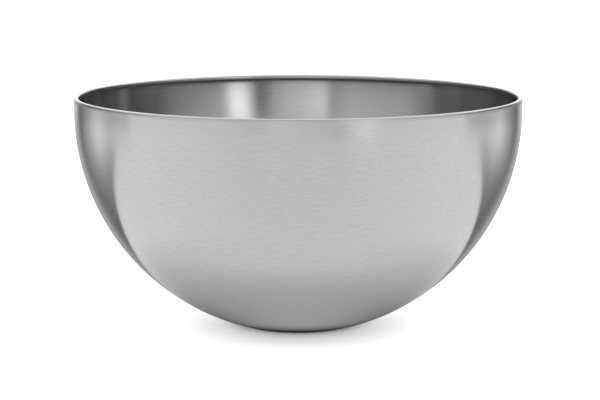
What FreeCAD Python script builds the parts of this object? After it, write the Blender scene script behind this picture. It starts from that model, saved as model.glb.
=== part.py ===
"""Double-walled stainless steel shaving bowl, 120 mm across and 62 mm tall.

Two drawn sheet-steel shells are nested and meet only along a short straight collar at the mouth.
The outer shell's edge is curled inwards over the inner shell's edge, which makes the thick round
rim and locks the two together.  A fillet of sealing compound under the curled lip keeps water out
of the air gap.  Each piece is a solid of revolution about Z, drawn as a closed section in the
(radius, height) plane.  Millimetres, +Z up, origin at the centre of the flat base.
"""

import FreeCAD
import Part

import math
import os

# Driving dimensions
RIM_DIAMETER = 120.0    # across the outside of the mouth
HEIGHT = 62.1           # flat base to the top of the rim
SHEET = 0.4             # thickness of both shells
COLLAR = 3.5            # depth over which the outer shell stands straight
OUTER_ARC = 60.4        # radius of the outer shell's side, on its outer face
BASE_CORNER = 3.0       # radius between that side and the flat base, on the outer face
INNER_COLLAR = 1.7      # depth over which the inner shell stands straight, past the seal's foot
INNER_LEAN = 4.0        # degrees by which its wall leans in from the foot of that collar
LEAN_BEND = 6.0         # radius of the bend that starts the lean, on the face in the air gap
INNER_ARC = 57.5        # radius of the inner shell's side below the bend, on the same face
LIP_STRAIGHT = 0.45     # length of the lip below the curl's half round
LIP_EDGE = 0.12         # rounding of the lip's cut edge, on the side that faces the bowl
SEAL_HEIGHT = 0.55      # how far the seal runs down the inner wall

# Worked out from them
RIM_RADIUS = RIM_DIAMETER / 2
COLLAR_FOOT = HEIGHT - COLLAR
INNER_FOOT = HEIGHT - INNER_COLLAR
CURL_RADIUS = 1.5 * SHEET           # the curl holds one sheet between its own two
CURL_CENTRE = (RIM_RADIUS - CURL_RADIUS, HEIGHT - CURL_RADIUS)
NEST_RADIUS = RIM_RADIUS - SHEET    # the face where the two collars touch
MOUTH_RADIUS = NEST_RADIUS - SHEET  # inside of the inner shell's collar
LIP_RADIUS = MOUTH_RADIUS - SHEET   # narrowest part of the mouth
LIP_FOOT = HEIGHT - CURL_RADIUS - LIP_STRAIGHT
SEAL_DEPTH = SHEET - LIP_EDGE       # the seal fills the flat of the lip's foot
OUTER_CENTRE = (RIM_RADIUS - OUTER_ARC, COLLAR_FOOT)
BEND_CENTRE = (NEST_RADIUS - LEAN_BEND, INNER_FOOT)


def polar(centre, radius, degrees):
    """The point at an angle round a centre, 0 being outwards and 90 up."""
    turn = math.radians(degrees)
    return (centre[0] + radius * math.cos(turn), centre[1] + radius * math.sin(turn))


def point(place):
    """A (radius, height) pair as a point of the section plane."""
    return FreeCAD.Vector(place[0], 0, place[1])


def line(start, end):
    return Part.LineSegment(point(start), point(end)).toShape()


def arc(centre, radius, from_degrees, to_degrees):
    middle = (from_degrees + to_degrees) / 2
    ends = (from_degrees, middle, to_degrees)
    return Part.Arc(*[point(polar(centre, radius, turn)) for turn in ends]).toShape()


def revolve(edges):
    """The closed section turned once round Z."""
    wire = Part.Wire(Part.__sortEdges__(edges))
    face = Part.Face(wire)
    return face.revolve(FreeCAD.Vector(0, 0, 0), FreeCAD.Vector(0, 0, 1), 360)


def base_corner():
    """Centre of the base corner's arc and the angle where it takes over from the side's arc."""
    drop = OUTER_CENTRE[1] - BASE_CORNER
    reach = OUTER_ARC - BASE_CORNER
    angle = -math.degrees(math.asin(drop / reach))
    return polar(OUTER_CENTRE, reach, angle), angle


def outer_face(offset, top):
    """One face of the outer shell, from the axis up to a height, set in from the outside."""
    corner, join = base_corner()
    foot = (corner[0], offset)
    collar = RIM_RADIUS - offset
    return [
        line((0, offset), foot),
        arc(corner, BASE_CORNER - offset, -90, join),
        arc(OUTER_CENTRE, OUTER_ARC - offset, join, 0),
        line((collar, COLLAR_FOOT), (collar, top)),
    ]


def inner_centre():
    """Centre of the inner shell's side. It lies on a line through the bend's, so both arcs meet."""
    return polar(BEND_CENTRE, LEAN_BEND - INNER_ARC, -INNER_LEAN)


def inner_face(offset, top):
    """One face of the inner shell, from the axis up to a height, set in from the air gap."""
    centre = inner_centre()
    floor = centre[1] - INNER_ARC + offset
    collar = NEST_RADIUS - offset
    return [
        line((0, floor), (centre[0], floor)),
        arc(centre, INNER_ARC - offset, -90, -INNER_LEAN),
        arc(BEND_CENTRE, LEAN_BEND - offset, -INNER_LEAN, 0),
        line((collar, INNER_FOOT), (collar, top)),
    ]


def outer_shell():
    """The visible outside, its flat base and the curled rim."""
    edge_centre = (LIP_RADIUS + LIP_EDGE, LIP_FOOT + LIP_EDGE)
    curl_height = CURL_CENTRE[1]
    section = outer_face(0, curl_height) + outer_face(SHEET, curl_height)
    section += [
        line((0, 0), (0, SHEET)),
        arc(CURL_CENTRE, CURL_RADIUS, 0, 180),
        arc(CURL_CENTRE, CURL_RADIUS - SHEET, 0, 180),
        line((LIP_RADIUS, curl_height), (LIP_RADIUS, edge_centre[1])),
        arc(edge_centre, LIP_EDGE, 180, 270),
        line((edge_centre[0], LIP_FOOT), (MOUTH_RADIUS, LIP_FOOT)),
        line((MOUTH_RADIUS, LIP_FOOT), (MOUTH_RADIUS, curl_height)),
    ]
    return revolve(section)


def inner_shell():
    """The inside that holds the water and lather. Its rounded edge fills the curl."""
    floor = inner_centre()[1] - INNER_ARC
    edge_height = CURL_CENTRE[1]
    section = inner_face(0, edge_height) + inner_face(SHEET, edge_height)
    section += [
        line((0, floor), (0, floor + SHEET)),
        arc(CURL_CENTRE, SHEET / 2, 0, 180),
    ]
    return revolve(section)


def rim_seal():
    """A fillet of sealing compound, wiped flat between the lip's foot and the inner wall."""
    under_lip = (MOUTH_RADIUS - SEAL_DEPTH, LIP_FOOT)
    on_wall = (MOUTH_RADIUS, LIP_FOOT - SEAL_HEIGHT)
    corner = (MOUTH_RADIUS, LIP_FOOT)
    return revolve([line(corner, under_lip), line(under_lip, on_wall), line(on_wall, corner)])


def export(name, solid):
    """Writes one sub-part and prints what a reader would check."""
    if not solid.isValid() or solid.Volume <= 0:
        raise ValueError(name + " is not a valid solid")
    solid.exportStep(os.path.join("parts", name + ".step"))
    box = solid.optimalBoundingBox(False, False)
    size = f"{box.XLength:.2f} across, {abs(box.ZMin):.2f} to {box.ZMax:.2f} high"
    print(f"{name}: {solid.Volume:.1f} mm3, {size}")


def main():
    os.makedirs("parts", exist_ok=True)
    export("outer_shell", outer_shell())
    export("inner_shell", inner_shell())
    export("rim_seal", rim_seal())


main()
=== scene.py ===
# %% [markdown]
# # A double-walled steel shaving bowl
#
# The bowl is two drawn steel shells, one inside the other. The outer shell's edge is curled over
# the inner shell's edge, and a thin line of sealing compound fills the corner under that curl.
# The CAD model already holds the exact shapes. This lesson rebuilds each piece as a smooth,
# finely divided mesh, because polished metal shows every flat facet in its reflections, and
# then gives it the finish that the real metal has from the lathe and the brush.

import math

import bmesh
import bpy
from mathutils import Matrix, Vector


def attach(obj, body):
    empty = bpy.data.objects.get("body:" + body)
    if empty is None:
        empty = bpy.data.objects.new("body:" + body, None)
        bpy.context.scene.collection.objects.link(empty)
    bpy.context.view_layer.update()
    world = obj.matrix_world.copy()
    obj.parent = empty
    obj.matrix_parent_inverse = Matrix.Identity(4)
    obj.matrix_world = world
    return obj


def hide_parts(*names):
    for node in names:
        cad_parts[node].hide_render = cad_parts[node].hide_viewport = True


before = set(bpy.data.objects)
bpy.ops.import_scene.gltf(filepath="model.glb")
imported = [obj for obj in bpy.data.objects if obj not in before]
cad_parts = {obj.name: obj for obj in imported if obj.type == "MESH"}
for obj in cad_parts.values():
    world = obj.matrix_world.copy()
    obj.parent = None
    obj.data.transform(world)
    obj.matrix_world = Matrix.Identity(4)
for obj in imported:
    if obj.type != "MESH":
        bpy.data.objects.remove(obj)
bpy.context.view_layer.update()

# %% [markdown]
# ## One helper for every node tree
#
# A node tree is a list of small operations. One function adds a node, sets what it is told to
# set, and joins its inputs, so that each later line reads as one operation. An input is given
# either a plain value or another node's output.

# %% Add a node
MM = 0.001


def add(tree, kind, inputs=None, **settings):
    """A new node. Its inputs are named, or numbered where two share a name."""
    node = tree.nodes.new(kind)
    for name, value in settings.items():
        setattr(node, name, value)
    for key, value in (inputs or {}).items():
        if isinstance(value, bpy.types.NodeSocket):
            tree.links.new(value, node.inputs[key])
        else:
            node.inputs[key].default_value = value
    return node


def linear(hex_colour):
    """An sRGB colour such as "#c8c8c8" as the linear values that a shader works in."""
    parts = [int(hex_colour[i:i + 2], 16) / 255 for i in (1, 3, 5)]
    return [p / 12.92 if p <= 0.04045 else ((p + 0.055) / 1.055) ** 2.4 for p in parts] + [1.0]


print("mid grey in linear light:", round(linear("#808080")[0], 3))

# %% [markdown]
# ## The camera
#
# A long lens from a little above the rim shows the bowl almost in profile, with a thin slice of
# its inside. The lens is long because the rim's near and far edges are nearly the same width. A
# camera's angle of view only depends on its lens and sensor, so the lens is given in millimetres
# for the usual 36 mm sensor.

# %% Place the camera
CAMERA_PLACE = Vector((0.48, -700.0, 132.06)) * MM
CAMERA_PITCH = 8.0
LENS_MM = 157.2
SENSOR_MM = 36.0
NEAREST_SEEN = 10 * MM

camera_data = bpy.data.cameras.new("camera")
camera_data.lens = LENS_MM
camera_data.sensor_width = SENSOR_MM
camera_data.clip_start = NEAREST_SEEN
camera = bpy.data.objects.new("camera", camera_data)
camera.location = CAMERA_PLACE
camera.rotation_euler = (math.radians(90 - CAMERA_PITCH), 0, 0)
bpy.context.scene.collection.objects.link(camera)
bpy.context.scene.camera = camera
print("camera", round(CAMERA_PLACE.length, 3), "m away, looking down", CAMERA_PITCH, "degrees")

# %% [markdown]
# ## Sections
#
# Anything turned, drawn or spun on a lathe is one flat outline swept round an axis. The outline
# could be traced by hand as a curve, but sheet metal is really straight runs and arcs, so the
# section is written that way: each arc by its centre, radius and two angles. Points are placed
# closely where the metal turns tightly and widely where it is nearly flat. The sizes are those
# of the CAD pieces.

# %% Sizes of the sheet metal, in millimetres
RIM_RADIUS = 60.0
HEIGHT = 62.1
SHEET = 0.4
COLLAR = 3.5
OUTER_ARC = 60.4
BASE_CORNER = 3.0
INNER_COLLAR = 1.7
INNER_LEAN = 4.0
LEAN_BEND = 6.0
INNER_ARC = 57.5
LIP_STRAIGHT = 0.45
LIP_EDGE = 0.12
SEAL_HEIGHT = 0.55

COLLAR_FOOT = HEIGHT - COLLAR
INNER_FOOT = HEIGHT - INNER_COLLAR
NEST_RADIUS = RIM_RADIUS - SHEET
MOUTH_RADIUS = NEST_RADIUS - SHEET
LIP_RADIUS = MOUTH_RADIUS - SHEET
CURL_RADIUS = 1.5 * SHEET
CURL_CENTRE = (RIM_RADIUS - CURL_RADIUS, HEIGHT - CURL_RADIUS)
LIP_FOOT = CURL_CENTRE[1] - LIP_STRAIGHT
OUTER_CENTRE = (RIM_RADIUS - OUTER_ARC, COLLAR_FOOT)
BEND_CENTRE = (NEST_RADIUS - LEAN_BEND, INNER_FOOT)
# How far apart the points of a section lie, also in millimetres
FLAT_STEP = 2.0
FLOOR_STEP = 1.0
SIDE_STEP = 1.0
CORNER_STEP = 0.25
BEND_STEP = 0.1
COLLAR_STEP = 0.6
MOUTH_STEP = 0.3
CURL_STEP = 0.06
FOLD_STEP = 0.08
LIP_STEP = 0.04
SAME_PLACE = 1e-6
print("rim ring", 2 * CURL_RADIUS, "mm wide, mouth", 2 * LIP_RADIUS, "mm across")


# %% Draw a section from runs and arcs
def arc(centre, radius, start, end, step):
    """Points along an arc of the (radius, height) plane, about step millimetres apart."""
    count = max(4, round(abs(math.radians(end - start)) * radius / step))
    turns = [math.radians(start + (end - start) * i / count) for i in range(count + 1)]
    return [(centre[0] + radius * math.cos(t), centre[1] + radius * math.sin(t)) for t in turns]


def run(start, end, step):
    """Points along a straight run, about step millimetres apart."""
    count = max(1, round(math.dist(start, end) / step))
    return [(start[0] + (end[0] - start[0]) * i / count,
             start[1] + (end[1] - start[1]) * i / count) for i in range(count + 1)]


def section_mesh(name, points):
    """The section as a string of vertices in metres, each knowing how far along it lies."""
    kept = [points[0]]
    for point in points[1:]:
        if math.dist(point, kept[-1]) > SAME_PLACE:
            kept.append(point)
    mesh = bpy.data.meshes.new(name)
    mesh.from_pydata([(r * MM, 0, z * MM) for r, z in kept], [], [])
    along = mesh.attributes.new("along", "FLOAT", "POINT")
    travelled = 0.0
    for i, point in enumerate(kept):
        if i:
            travelled += math.dist(point, kept[i - 1])
        along.data[i].value = travelled * MM
    print(name, len(kept), "points,", round(travelled, 1), "mm long")
    return mesh


# %% [markdown]
# ## Spinning a section
#
# Every piece here is one section swept round Z. Blender's Spin tool or a Screw modifier would
# do it, but a node tree keeps the number of steps as an input and can write a UV map as it goes:
# U runs once round, and V is the distance along the metal in metres, so brush marks can later
# follow the surface at their real size. The tree lays a flat grid with one row for each section
# point, wraps it round the axis, and welds the seam and the pole.

# %% The spin tree
def spin_tree():
    tree = bpy.data.node_groups.new("spin_section", "GeometryNodeTree")
    sockets = tree.interface.new_socket
    sockets("Section", in_out="INPUT", socket_type="NodeSocketGeometry")
    sockets("Steps Round", in_out="INPUT", socket_type="NodeSocketInt")
    sockets("Weld Distance", in_out="INPUT", socket_type="NodeSocketFloat")
    sockets("Crease Angle", in_out="INPUT", socket_type="NodeSocketFloat")
    sockets("Rim Height", in_out="INPUT", socket_type="NodeSocketFloat")
    sockets("Finish", in_out="INPUT", socket_type="NodeSocketMaterial")
    sockets("Rim Finish", in_out="INPUT", socket_type="NodeSocketMaterial")
    sockets("Piece", in_out="OUTPUT", socket_type="NodeSocketGeometry")
    given = add(tree, "NodeGroupInput").outputs

    # One grid column for each step and one row for each section point.
    rows = add(tree, "GeometryNodeAttributeDomainSize", {0: given["Section"]}).outputs[0]
    columns = add(tree, "ShaderNodeMath", {0: given["Steps Round"], 1: 1.0}, operation="ADD")
    grid = add(tree, "GeometryNodeMeshGrid", {"Vertices X": columns.outputs[0], "Vertices Y": rows})
    index = add(tree, "GeometryNodeInputIndex").outputs[0]
    row = add(tree, "ShaderNodeMath", {0: index, 1: rows}, operation="FLOORED_MODULO").outputs[0]
    step = add(tree, "ShaderNodeMath", {0: index, 1: rows}, operation="DIVIDE").outputs[0]
    step = add(tree, "ShaderNodeMath", {0: step}, operation="FLOOR").outputs[0]
    turn = add(tree, "ShaderNodeMath", {0: step, 1: given["Steps Round"]}, operation="DIVIDE")

    # Where each section point is, and how far along the metal.
    here = add(tree, "GeometryNodeInputPosition").outputs[0]
    place = add(tree, "GeometryNodeSampleIndex", {"Geometry": given["Section"], "Value": here,
                "Index": row}, data_type="FLOAT_VECTOR").outputs[0]
    place = add(tree, "ShaderNodeSeparateXYZ", {0: place}).outputs
    along = add(tree, "GeometryNodeInputNamedAttribute", {"Name": "along"}, data_type="FLOAT")
    along = add(tree, "GeometryNodeSampleIndex", {"Geometry": given["Section"], "Index": row,
                "Value": along.outputs[0]}, data_type="FLOAT").outputs[0]

    # U and V are noted on the points before the weld, so the seam keeps both its ends.
    noted = add(tree, "GeometryNodeCaptureAttribute", {"Geometry": grid.outputs[0]}, domain="POINT")
    noted.capture_items.new("FLOAT", "Around")
    noted.capture_items.new("FLOAT", "Along")
    tree.links.new(turn.outputs[0], noted.inputs["Around"])
    tree.links.new(along, noted.inputs["Along"])
    uv = add(tree, "ShaderNodeCombineXYZ", {0: noted.outputs["Around"], 1: noted.outputs["Along"]})
    mapped = add(tree, "GeometryNodeStoreNamedAttribute", {"Geometry": noted.outputs["Geometry"],
                 "Name": "UVMap", "Value": uv.outputs[0]}, data_type="FLOAT2", domain="CORNER")

    # Wrap the grid round Z.
    angle = add(tree, "ShaderNodeMath", {0: turn.outputs[0], 1: math.tau}, operation="MULTIPLY")
    flat = add(tree, "ShaderNodeCombineXYZ", {0: place["X"], 2: place["Z"]}).outputs[0]
    spun = add(tree, "ShaderNodeVectorRotate", {"Vector": flat, "Angle": angle.outputs[0]},
               rotation_type="Z_AXIS").outputs[0]
    wrapped = add(tree, "GeometryNodeSetPosition", {"Geometry": mapped.outputs[0],
                  "Position": spun})
    welded = add(tree, "GeometryNodeMergeByDistance", {"Geometry": wrapped.outputs[0],
                 "Distance": given["Weld Distance"]})

    # Smooth everywhere except across a real corner of the metal.
    smooth = add(tree, "GeometryNodeSetShadeSmooth", {"Geometry": welded.outputs[0],
                 "Shade Smooth": True}, domain="FACE")
    corner = add(tree, "GeometryNodeInputMeshEdgeAngle").outputs["Unsigned Angle"]
    corner = add(tree, "FunctionNodeCompare", {0: corner, 1: given["Crease Angle"]},
                 data_type="FLOAT", operation="GREATER_THAN").outputs[0]
    creased = add(tree, "GeometryNodeSetShadeSmooth", {"Geometry": smooth.outputs[0],
                  "Selection": corner, "Shade Smooth": False}, domain="EDGE")

    real = add(tree, "GeometryNodeRealizeInstances", {"Geometry": creased.outputs[0]})
    coated = add(tree, "GeometryNodeSetMaterial", {"Geometry": real.outputs[0],
                 "Material": given["Finish"]})
    height = add(tree, "ShaderNodeSeparateXYZ", {0: here}).outputs["Z"]
    on_rim = add(tree, "FunctionNodeCompare", {0: height, 1: given["Rim Height"]},
                 data_type="FLOAT", operation="GREATER_THAN").outputs[0]
    rimmed = add(tree, "GeometryNodeSetMaterial", {"Geometry": coated.outputs[0],
                 "Selection": on_rim, "Material": given["Rim Finish"]})
    add(tree, "NodeGroupOutput", {0: rimmed.outputs[0]})
    print("spin tree:", len(tree.nodes), "nodes")
    return tree


SPIN = spin_tree()


# %% Spin one piece
STEPS_ROUND = 256
WELD = 1e-7
CREASE = math.radians(40)


def spin(name, points, finish, rim_finish=None, rim_height=1.0):
    """A section spun into a plain mesh object that stands where its section puts it."""
    draft = bpy.data.objects.new(name + "_section", section_mesh(name + "_section", points))
    bpy.context.scene.collection.objects.link(draft)
    modifier = draft.modifiers.new("spin", "NODES")
    modifier.node_group = SPIN
    values = {"Steps Round": STEPS_ROUND, "Weld Distance": WELD, "Crease Angle": CREASE,
              "Rim Height": rim_height, "Finish": finish, "Rim Finish": rim_finish or finish}
    for item in SPIN.interface.items_tree:
        if item.in_out == "INPUT" and item.name in values:
            modifier[item.identifier] = values[item.name]
    seen = draft.evaluated_get(bpy.context.evaluated_depsgraph_get())
    mesh = bpy.data.meshes.new_from_object(seen)
    mesh.name = name
    bpy.data.objects.remove(draft)
    piece = bpy.data.objects.new(name, mesh)
    bpy.context.scene.collection.objects.link(piece)
    print(name, len(mesh.vertices), "vertices,", len(mesh.polygons), "faces,", measure(mesh))
    return piece


def measure(mesh):
    """Volume in cubic millimetres, positive when the faces look outwards, and any open edges."""
    form = bmesh.new()
    form.from_mesh(mesh)
    volume = form.calc_volume(signed=True) / MM ** 3
    loose = sum(len(edge.link_faces) != 2 for edge in form.edges)
    form.free()
    return f"{volume:.1f} mm3, {loose} open edges"


# %% [markdown]
# ## Brushed stainless steel
#
# The shells are 18/10 stainless steel, spun against an abrasive pad. Each grain leaves a hair of
# a groove that runs round the bowl, so light spreads far up and down, across the grooves, and
# hardly at all along them. That is why reflections on such a bowl are upright streaks with soft
# ends and crisp sides. An even roughness would blur them both ways. The shader's anisotropy does
# the spreading that no mesh could show, and a noise stretched along the grooves shows the few
# marks that the eye can pick out. Real grooves lie a few hundredths of a millimetre apart, too
# fine to show, so these are drawn about a third of a millimetre apart. The inside is brushed the
# same way, and its colour darkens towards the corner under the lip: painted shade from the lip.

# %% Brushed steel
STEEL_LIGHT = "#d1d1d1"
STEEL_DARK = "#bfbfbf"
BRUSH_TURN = 0.25
# A hair's noise lies mostly between these two values.
HAIR_LOW, HAIR_HIGH = 0.3, 0.7
HAIR_DETAIL = 2.0


def brushed_steel(name, roughness, anisotropy, pitch, length, relief, contrast, shade=None):
    """Steel brushed round Z. Pitch, length and relief of its visible marks are in millimetres."""
    material = bpy.data.materials.new(name)
    material.use_nodes = True
    tree = material.node_tree
    shader = tree.nodes["Principled BSDF"]
    shader.inputs["Metallic"].default_value = 1.0
    shader.inputs["Anisotropic"].default_value = anisotropy
    shader.inputs["Anisotropic Rotation"].default_value = BRUSH_TURN

    # X and Y run along the marks at their length, and V across them at their pitch.
    place = add(tree, "ShaderNodeTexCoord").outputs["Object"]
    place = add(tree, "ShaderNodeSeparateXYZ", {0: place}).outputs
    along = add(tree, "ShaderNodeUVMap", uv_map="UVMap").outputs[0]
    along = add(tree, "ShaderNodeSeparateXYZ", {0: along}).outputs[1]
    marks = add(tree, "ShaderNodeCombineXYZ", {0: place[0], 1: place[1], 2: along}).outputs[0]
    scale = (1 / (length * MM), 1 / (length * MM), 1 / (pitch * MM))
    marks = add(tree, "ShaderNodeVectorMath", {0: marks, 1: scale}, operation="MULTIPLY").outputs[0]
    hair = add(tree, "ShaderNodeTexNoise", {"Vector": marks, "Scale": 1.0, "Detail": HAIR_DETAIL},
               noise_dimensions="3D").outputs[0]

    rough = add(tree, "ShaderNodeMapRange", {0: hair, 1: HAIR_LOW, 2: HAIR_HIGH,
                3: roughness - contrast, 4: roughness + contrast}).outputs[0]
    tree.links.new(rough, shader.inputs["Roughness"])
    colour = add(tree, "ShaderNodeMix", {"Factor": hair, "A": linear(STEEL_DARK),
                 "B": linear(STEEL_LIGHT)}, data_type="RGBA").outputs["Result"]
    if shade:
        # Painted shade: the base colour darkens towards the seal, where the lip shades the wall.
        foot, top, least = shade
        kept = add(tree, "ShaderNodeMapRange", {0: place[2], 1: foot * MM, 2: top * MM, 3: 1.0,
                   4: least}, interpolation_type="SMOOTHSTEP").outputs[0]
        colour = add(tree, "ShaderNodeVectorMath", {0: colour, "Scale": kept},
                     operation="SCALE").outputs[0]
    tree.links.new(colour, shader.inputs["Base Color"])
    bump = add(tree, "ShaderNodeBump", {"Height": hair, "Distance": relief * MM, "Strength": 1.0})
    tree.links.new(bump.outputs[0], shader.inputs["Normal"])
    tangent = add(tree, "ShaderNodeTangent", direction_type="UV_MAP", uv_map="UVMap").outputs[0]
    tree.links.new(tangent, shader.inputs["Tangent"])
    return material


SEAL_FOOT = LIP_FOOT - SEAL_HEIGHT
# Painted shade under the lip: its reach below the seal in mm, and the share of colour left at the
# seal.
PAINTED_SHADE_REACH = 1.3
CORNER_PAINTED_SHADE = 0.75
SEALANT_SHADE_GREY = "#707070"
SEALANT_ROUGHNESS = 0.7

outside_steel = brushed_steel("steel_brushed_outside", roughness=0.19, anisotropy=0.9,
                              pitch=0.35, length=2.0, relief=0.0003, contrast=0.015)
inside_steel = brushed_steel("steel_brushed_inside", roughness=0.17, anisotropy=0.9, pitch=0.35,
                             length=2.5, relief=0.0005, contrast=0.015,
                             shade=(SEAL_FOOT - PAINTED_SHADE_REACH, SEAL_FOOT, CORNER_PAINTED_SHADE))
# The rim's marks are too fine to tell apart, so its highlight is an even bright line.
rim_steel = brushed_steel("steel_polished_rim", roughness=0.3, anisotropy=0.6,
                          pitch=0.1, length=4.0, relief=0.0002, contrast=0.02)

# Cured sealing compound is a dull rubber, painted dark grey for the shadow under the curl: it shows
# no highlight between the two bright steels.
sealant = bpy.data.materials.new("sealing_compound_shade")
sealant.use_nodes = True
shader = sealant.node_tree.nodes["Principled BSDF"]
# Painted shade: this dark grey stands for the shadow under the curl.
shader.inputs["Base Color"].default_value = linear(SEALANT_SHADE_GREY)
shader.inputs["Roughness"].default_value = SEALANT_ROUGHNESS
print("finishes:", outside_steel.name, inside_steel.name, rim_steel.name, sealant.name)

# %% [markdown]
# ## The outer shell
#
# A press draws the outer shell from a flat disc in one or two strokes, which leaves a nearly
# round side, a small flat base to stand on, and a short straight collar at the mouth. A roller
# then curls the collar's edge inwards and down over the inner shell's edge. The curl is what the
# hand and the eye take for a thick rim, though it is only a folded sheet. Its half round and its
# cut edge are drawn as real arcs here: a bevel modifier would round every corner alike, and the
# bright line along the rim depends on that one radius. The rim is polished, not brushed, so it
# has a finish of its own above the lip's foot.

# %% Outer shell
corner_reach = OUTER_ARC - BASE_CORNER
corner_turn = -math.degrees(math.asin((OUTER_CENTRE[1] - BASE_CORNER) / corner_reach))
corner_centre = (OUTER_CENTRE[0] + corner_reach * math.cos(math.radians(corner_turn)), BASE_CORNER)


def outer_face(offset):
    """One face of the outer shell, from the axis up to the foot of the collar."""
    return (run((0, offset), (corner_centre[0], offset), FLAT_STEP)
            + arc(corner_centre, BASE_CORNER - offset, -90, corner_turn, CORNER_STEP)
            + arc(OUTER_CENTRE, OUTER_ARC - offset, corner_turn, 0, SIDE_STEP))


RIM_FINISH_BELOW_LIP = 0.1
curl_height = CURL_CENTRE[1]
edge_centre = (LIP_RADIUS + LIP_EDGE, LIP_FOOT + LIP_EDGE)
outer_section = outer_face(0)
outer_section += run((RIM_RADIUS, COLLAR_FOOT), (RIM_RADIUS, curl_height), COLLAR_STEP)
outer_section += arc(CURL_CENTRE, CURL_RADIUS, 0, 180, CURL_STEP)
outer_section += arc(edge_centre, LIP_EDGE, 180, 270, LIP_STEP)
outer_section += [(MOUTH_RADIUS, LIP_FOOT), (MOUTH_RADIUS, curl_height)]
outer_section += arc(CURL_CENTRE, CURL_RADIUS - SHEET, 180, 0, FOLD_STEP)
outer_section += outer_face(SHEET)[::-1]

rim_finish_foot = (LIP_FOOT - RIM_FINISH_BELOW_LIP) * MM
outer = spin("outer_shell_steel", outer_section, outside_steel, rim_steel, rim_finish_foot)

# %% [markdown]
# ## The inner shell
#
# The inner shell is drawn too, a little shallower, so air keeps the lather warm between the two.
# It fits tightly in the collar and its edge fills the curl. Below the collar its wall leans in by
# a few degrees, which lets it come off the punch. The lean matters to the eye: an upright wall
# would mirror the far wall opposite, while a leaning one mirrors the room above the rim, so the
# inside shows even upright bands. A plain bowl of one arc would miss that.

# %% Inner shell
lean = math.radians(INNER_LEAN)
inner_centre = (BEND_CENTRE[0] - (INNER_ARC - LEAN_BEND) * math.cos(lean),
                BEND_CENTRE[1] + (INNER_ARC - LEAN_BEND) * math.sin(lean))


def inner_face(offset):
    """One face of the inner shell, from the axis up to the foot of the collar."""
    floor = inner_centre[1] - INNER_ARC + offset
    return (run((0, floor), (inner_centre[0], floor), FLOOR_STEP)
            + arc(inner_centre, INNER_ARC - offset, -90, -INNER_LEAN, SIDE_STEP)
            + arc(BEND_CENTRE, LEAN_BEND - offset, -INNER_LEAN, 0, BEND_STEP))


inner_section = inner_face(0)
inner_section += arc(CURL_CENTRE, SHEET / 2, 0, 180, FOLD_STEP)
inner_section += run((MOUTH_RADIUS, curl_height), (MOUTH_RADIUS, INNER_FOOT), MOUTH_STEP)
inner_section += inner_face(SHEET)[::-1]
inner = spin("inner_shell_steel", inner_section, inside_steel)

# %% [markdown]
# ## The seal
#
# Water that crept up between the curl and the inner wall would stay in the air gap for good, so
# a fillet of sealing compound closes that corner. It is half a millimetre high and dull, and its
# dark grey is painted shade for the shadow under the curl, so it shows as a thin dark line all
# round under the rim. Its section is a triangle, as a finger wipes it flat. Darkening the steel
# there instead would lose its edge as the view comes closer.

# %% Seal
seal_section = [(MOUTH_RADIUS, LIP_FOOT), (LIP_RADIUS + LIP_EDGE, LIP_FOOT),
                (MOUTH_RADIUS, LIP_FOOT - SEAL_HEIGHT), (MOUTH_RADIUS, LIP_FOOT)]
seal = spin("rim_seal_compound", seal_section, sealant)

for piece, node, slot in ((outer, "outer_shell", "outer_steel"),
                          (inner, "inner_shell", "inner_steel"),
                          (seal, "rim_seal", "sealant")):
    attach(piece, "root")
    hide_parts(node)

# %% [markdown]
# ## The table
#
# The bowl stands on a sheet of white paper that glows so brightly that only the painted shadow
# under the bowl shows on it. Ambient occlusion darkens each point of the sheet by how much of the
# sky the bowl hides from it, which is what such a shadow is. The steel mirrors the sheet too, but
# darker, painted as if the lamps were on its far side, so the material tells the camera's rays
# from the mirrored ones. The sheet ends just behind the bowl for the steel, which gives the curved
# edge low on its sides. Each brightness is a list of distances from the bowl's middle, one list
# towards the camera and one to the sides, painted brighter at the sides as if lamps stood closer
# there; the mirrored lists also paint the shadow under the bowl.

# %% White paper
def graded(tree, where, stops):
    """A value that follows another one through (where, value) stops."""
    first, last = stops[0][0], stops[-1][0]
    top = max(value for _, value in stops)
    share = add(tree, "ShaderNodeMapRange", {0: where, 1: first, 2: last}).outputs[0]
    ramp = add(tree, "ShaderNodeValToRGB", {0: share})
    elements = ramp.color_ramp.elements
    elements.remove(elements[-1])
    for i, (place, value) in enumerate(stops):
        position = (place - first) / (last - first)
        element = elements.new(position) if i else elements[0]
        element.position = position
        element.color = (value / top,) * 3 + (1.0,)
    scaled = add(tree, "ShaderNodeMath", {0: ramp.outputs[0], 1: top}, operation="MULTIPLY")
    return scaled.outputs[0]


SHADOW_REACH = 20.0
SHADOW_SOFTNESS = 0.4
SHADOW_SAMPLES = 16
PAPER_GLOW = 1.42
PAPER_GLOW_BESIDE = 1.7
# Painted shadow and light for the mirrored paper: glow by distance in mm, none at the bowl's foot,
# brighter to the sides.
AHEAD = [(16, 0.0), (21, 0.5), (40, 0.6), (55, 0.9), (140, 0.85), (700, 0.85)]
BESIDE = [(15, 0.0), (40, 0.55), (70, 1.0), (300, 1.0), (700, 1.25)]

paper = bpy.data.materials.new("white_paper")
paper.use_nodes = True
tree = paper.node_tree
tree.nodes.clear()
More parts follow.
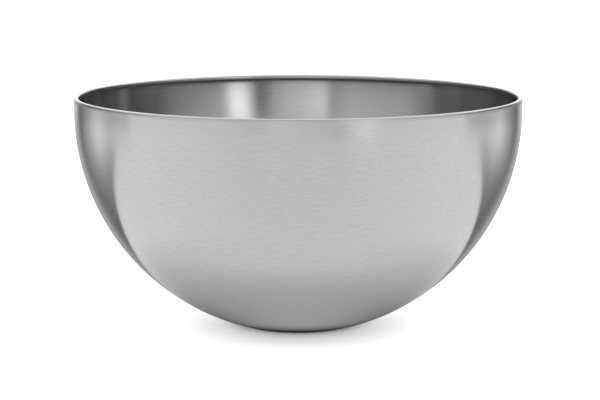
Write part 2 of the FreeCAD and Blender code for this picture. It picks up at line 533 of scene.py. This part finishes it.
# Painted shadow: ambient occlusion dims the paper's glow near the bowl.
sky = add(tree, "ShaderNodeAmbientOcclusion", {"Distance": SHADOW_REACH * MM},
          samples=SHADOW_SAMPLES)
shadow = add(tree, "ShaderNodeMath", {0: sky.outputs["AO"], 1: SHADOW_SOFTNESS}, operation="POWER")
place = add(tree, "ShaderNodeTexCoord").outputs["Object"]
away = add(tree, "ShaderNodeVectorMath", {0: place}, operation="LENGTH").outputs["Value"]
away_mm = add(tree, "ShaderNodeMath", {0: away, 1: MM}, operation="DIVIDE").outputs[0]
ahead = graded(tree, away_mm, AHEAD)
beside = graded(tree, away_mm, BESIDE)
heading = add(tree, "ShaderNodeVectorMath", {0: place}, operation="NORMALIZE").outputs[0]
heading = add(tree, "ShaderNodeSeparateXYZ", {0: heading}).outputs[0]
sideways = add(tree, "ShaderNodeMath", {0: heading, 1: heading}, operation="MULTIPLY").outputs[0]
mirrored = add(tree, "ShaderNodeMapRange", {0: sideways, 3: ahead, 4: beside}).outputs[0]
lit = add(tree, "ShaderNodeMapRange", {0: sideways, 3: PAPER_GLOW, 4: PAPER_GLOW_BESIDE}).outputs[0]
shown = add(tree, "ShaderNodeMath", {0: shadow.outputs[0], 1: lit}, operation="MULTIPLY")
direct = add(tree, "ShaderNodeLightPath").outputs["Is Camera Ray"]
glow = add(tree, "ShaderNodeMapRange", {0: direct, 3: mirrored, 4: shown.outputs[0]}).outputs[0]
glow = add(tree, "ShaderNodeEmission", {"Strength": glow})
add(tree, "ShaderNodeOutputMaterial", {0: glow.outputs[0]})
print("the shadow reaches", SHADOW_REACH, "mm from the bowl")

# %% Lay the paper in two parts
PAPER_SIDE = 3.0
PAPER_FRONT = -3.0
PAPER_BACK = 6.0
MIRRORED_EDGE = 20 * MM


def lay_paper(name, near, far):
    mesh = bpy.data.meshes.new(name)
    mesh.from_pydata([(-PAPER_SIDE, near, 0), (PAPER_SIDE, near, 0), (PAPER_SIDE, far, 0),
                      (-PAPER_SIDE, far, 0)], [], [(0, 1, 2, 3)])
    mesh.materials.append(paper)
    part = bpy.data.objects.new(name, mesh)
    bpy.context.scene.collection.objects.link(part)
    return part


lay_paper("paper_front", PAPER_FRONT, MIRRORED_EDGE)
lay_paper("paper_back", MIRRORED_EDGE, PAPER_BACK).visible_glossy = False
print("the steel mirrors the paper up to", MIRRORED_EDGE / MM, "mm behind the axis")

# %% [markdown]
# ## The room that the steel mirrors
#
# Steel has hardly a colour of its own: the eye reads it from what it mirrors. A studio stands
# white sheets, soft boxes and black flags round such a bowl. Cards and lamps could stand in the
# scene, but each would have to be kept out of every view. The world's background can hold them
# all instead, as rings of brightness at several heights, from the table behind the bowl to the
# ceiling. Each ring lists its lamps and flags by how many degrees they lie to the camera's
# right, and the shader blends from one ring to the next. The inside wall mirrors the same upright
# lamps at two heights, so they are written once, and so is what stands behind the bowl.
#
# Inside a bowl, steel also mirrors steel. A real wall is never quite true, so by the second
# mirroring the lamps have run together into a dull glow. This wall is perfect and would show
# them crisp again, so the room is dimmed for every image after the first.

# %% Rings of light
def both_sides(stops):
    """The same stops to the camera's left, mirrored, and to its right."""
    return [(-degrees, value) for degrees, value in reversed(stops)] + stops


INSIDE = [(-84, 0.13), (-73, 0.33), (-62, 0.54), (-30, 0.64), (-19, 0.48), (-14, 1.0), (-10, 1.0),
          (-4, 0.85), (6, 0.72), (12, 0.6), (19, 0.25), (22, 0.2), (25, 0.6), (29, 1.4), (33, 1.7),
          (37, 1.5), (41, 0.8), (45, 0.55), (60, 0.39), (75, 0.26), (84, 0.1)]
BEHIND = [(135, 0.0), (150, 0.4), (160, 1.1), (180, 1.7)]
ALL_ROUND = [(-degrees, value) for degrees, value in reversed(BEHIND)] + INSIDE + BEHIND
# Each ring is its height above the horizon in degrees, and its stops.
RINGS = (
    (-30, both_sides([(90, 0.2), (180, 0.1)])),
    (-18, both_sides([(90, 0.25), (125, 0.4), (145, 0.2), (160, 0.5), (180, 0.25)])),
    (-8, both_sides([(90, 1.25), (112, 1.15), (124, 1.45), (135, 0.75), (148, 0.2), (160, 0.5),
                     (180, 0.5)])),
    (-2, both_sides([(75, 0.3), (100, 0.1), (148, 0.1), (160, 1.0), (180, 1.0)])),
    (4, ALL_ROUND),
    (18, ALL_ROUND),
    (32, both_sides([(0, 0.7), (60, 0.7), (100, 1.1), (180, 1.6)])),
    (60, both_sides([(0, 0.5), (90, 1.0), (180, 1.0)])),
)
# Cycles counts the ray that meets the room as one more than the mirrorings before it.
FIRST_IMAGE = 2.0
SECOND_IMAGE = 3.0
MIRRORED_TWICE = 0.5

world = bpy.data.worlds.new("studio")
bpy.context.scene.world = world
world.use_nodes = True
tree = world.node_tree
tree.nodes.clear()
way = add(tree, "ShaderNodeTexCoord").outputs["Generated"]
way = add(tree, "ShaderNodeSeparateXYZ", {0: way}).outputs
ahead = add(tree, "ShaderNodeMath", {0: way[1], 1: -1.0}, operation="MULTIPLY").outputs[0]
azimuth = add(tree, "ShaderNodeMath", {0: way[0], 1: ahead}, operation="ARCTAN2").outputs[0]
azimuth = add(tree, "ShaderNodeMath", {0: azimuth}, operation="DEGREES").outputs[0]
room, below = None, None
for degrees, stops in RINGS:
    ring = graded(tree, azimuth, stops)
    height = math.sin(math.radians(degrees))
    if room is None:
        room = ring
    else:
        room = add(tree, "ShaderNodeMapRange", {0: way[2], 1: below, 2: height, 3: room, 4: ring})
        room = room.outputs[0]
    below = height
path = add(tree, "ShaderNodeLightPath").outputs
kept = add(tree, "ShaderNodeMapRange", {0: path["Ray Depth"], 1: FIRST_IMAGE, 2: SECOND_IMAGE,
           3: 1.0, 4: MIRRORED_TWICE}).outputs[0]
room = add(tree, "ShaderNodeMath", {0: room, 1: kept}, operation="MULTIPLY").outputs[0]
shown = add(tree, "ShaderNodeMapRange", {0: path["Is Camera Ray"], 3: room, 4: 1.0}).outputs[0]
background = add(tree, "ShaderNodeBackground", {"Color": (1, 1, 1, 1), "Strength": shown})
add(tree, "ShaderNodeOutputWorld", {0: background.outputs[0]})
bpy.context.scene.view_settings.view_transform = "Standard"
print(len(RINGS), "rings of light")
